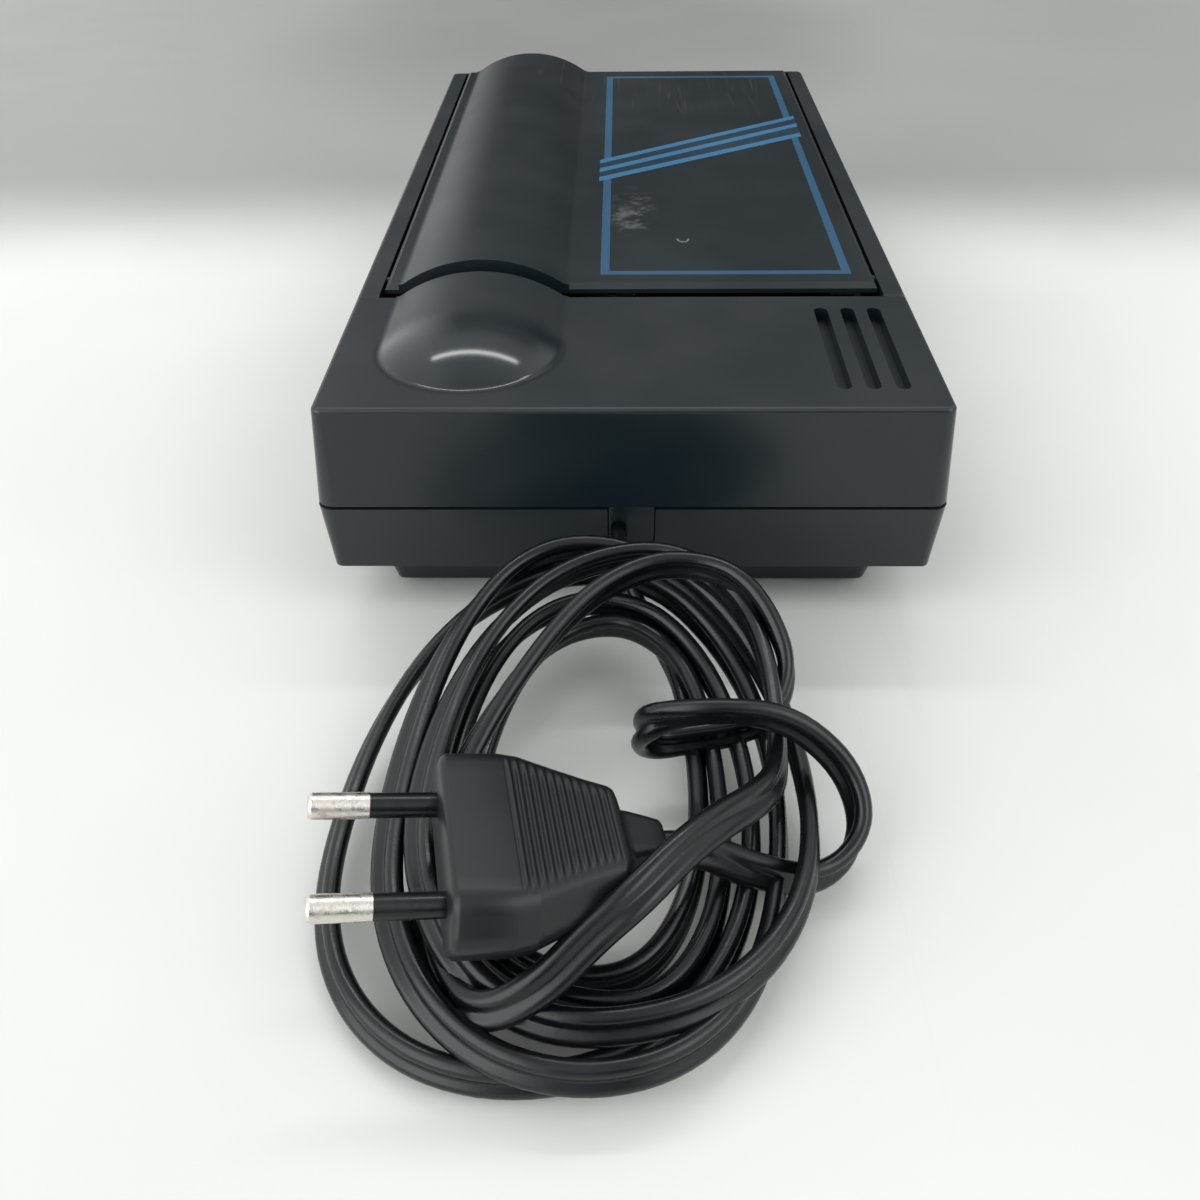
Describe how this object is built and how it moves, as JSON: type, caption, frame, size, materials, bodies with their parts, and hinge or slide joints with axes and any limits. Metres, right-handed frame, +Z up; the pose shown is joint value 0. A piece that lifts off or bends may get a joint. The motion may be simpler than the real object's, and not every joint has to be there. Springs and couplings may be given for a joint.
{
  "type": "video cassette rewinder",
  "caption": "Slim video cassette rewinder with a long humped hinged lid, vented rear cover and a coiled flat mains cord with a two-pin plug.",
  "frame": {"origin": "on the table, below the middle of the case without its cord", "axes": "+Z up, +Y along the case towards its front, so the cord leaves at -Y; +X to the right seen from the cord end"},
  "size_m": [0.129, 0.3666, 0.0571],
  "materials": {
    "case_plastic": "moulded charcoal plastic, satin",
    "dark_plastic": "plain black moulding",
    "foot_rubber": "soft black rubber",
    "zinc_steel": "zinc plated",
    "spring_brass": "rolled spring strip",
    "gear_plastic": "natural acetal",
    "belt_rubber": "ground rubber",
    "brake_felt": "dense felt",
    "core_steel": "varnished laminations",
    "winding_tape": "yellow winding tape",
    "board_laminate": "phenolic paper board",
    "capacitor_sleeve": "shrink sleeve",
    "diode_epoxy": "moulded epoxy",
    "fuse_glass": "glass tube fuse",
    "cord_pvc": "smooth black PVC",
    "wire_pvc": "thin insulated wire",
    "pin_nickel": "nickel plated brass"
  },
  "bodies": {
    "case": {"lower_housing": "case_plastic", "rubber_feet": "foot_rubber", "rear_cover": "case_plastic", "front_frame": "case_plastic", "cover_screws": "zinc_steel", "deck_plate": "dark_plastic", "deck_screws": "zinc_steel", "hinge_pins": "zinc_steel", "button_spring": "zinc_steel", "lid_switch": "dark_plastic", "switch_leaf": "spring_brass", "axles": "zinc_steel", "spindle_caps": "gear_plastic", "drive_belt": "belt_rubber", "motor_can": "zinc_steel", "motor_bracket": "zinc_steel", "motor_screws": "zinc_steel", "transformer_core": "core_steel", "transformer_winding": "winding_tape", "transformer_bracket": "zinc_steel", "transformer_screws": "zinc_steel", "circuit_board": "board_laminate", "board_screws": "zinc_steel", "capacitor": "capacitor_sleeve", "diodes": "diode_epoxy", "fuse": "fuse_glass", "cord_clamp": "dark_plastic", "clamp_screws": "zinc_steel", "inner_lead": "cord_pvc", "mains_wires": "wire_pvc", "motor_wires": "wire_pvc", "cord_lead": "cord_pvc", "cord_coil": "cord_pvc", "cord_tail": "cord_pvc", "plug_body": "cord_pvc", "plug_sleeves": "cord_pvc", "plug_pins": "pin_nickel"},
    "lid": {"lid": "case_plastic", "cassette_holder": "dark_plastic", "cassette_springs": "spring_brass"},
    "latch": {"latch_slide": "dark_plastic", "release_button": "dark_plastic"},
    "drive": {"drive_spindle": "gear_plastic", "drive_gear": "gear_plastic"},
    "free": {"free_spindle": "gear_plastic"},
    "wheel": {"belt_wheel": "gear_plastic"},
    "motor": {"motor_shaft": "zinc_steel", "motor_pulley": "gear_plastic"},
    "brake": {"brake_lever": "zinc_steel", "brake_pad": "brake_felt"}
  },
  "joints": [
    {"name": "lid_hinge", "type": "hinge", "parent": "case", "child": "lid", "pos_m": [0, -0.0595, 0.0486], "axis": [1, 0, 0], "range_deg": [0, 40]},
    {"name": "button_press", "type": "slide", "parent": "case", "child": "latch", "axis": [0, -1, 0], "range_m": [0, 0.0025], "stiffness_N_per_m": 300},
    {"name": "drive_spin", "type": "hinge", "parent": "case", "child": "drive", "pos_m": [-0.006, -0.0196, 0.012], "axis": [0, 0, 1], "continuous": true},
    {"name": "free_spin", "type": "hinge", "parent": "case", "child": "free", "pos_m": [-0.006, 0.0724, 0.012], "axis": [0, 0, 1], "continuous": true},
    {"name": "wheel_spin", "type": "hinge", "parent": "case", "child": "wheel", "pos_m": [-0.016, -0.05, 0.012], "axis": [0, 0, 1], "continuous": true},
    {"name": "motor_spin", "type": "hinge", "parent": "case", "child": "motor", "pos_m": [-0.034, -0.0979, 0.012], "axis": [0, 0, 1], "continuous": true},
    {"name": "brake_swing", "type": "hinge", "parent": "case", "child": "brake", "pos_m": [0.024, 0.052, 0.01], "axis": [0, 0, 1], "range_deg": [-8, 0]}
  ],
  "couplings": [
    {"joint": "drive_spin", "follows": "wheel_spin", "ratio": -0.33333},
    {"joint": "motor_spin", "follows": "wheel_spin", "ratio": 3.7778}
  ]
}
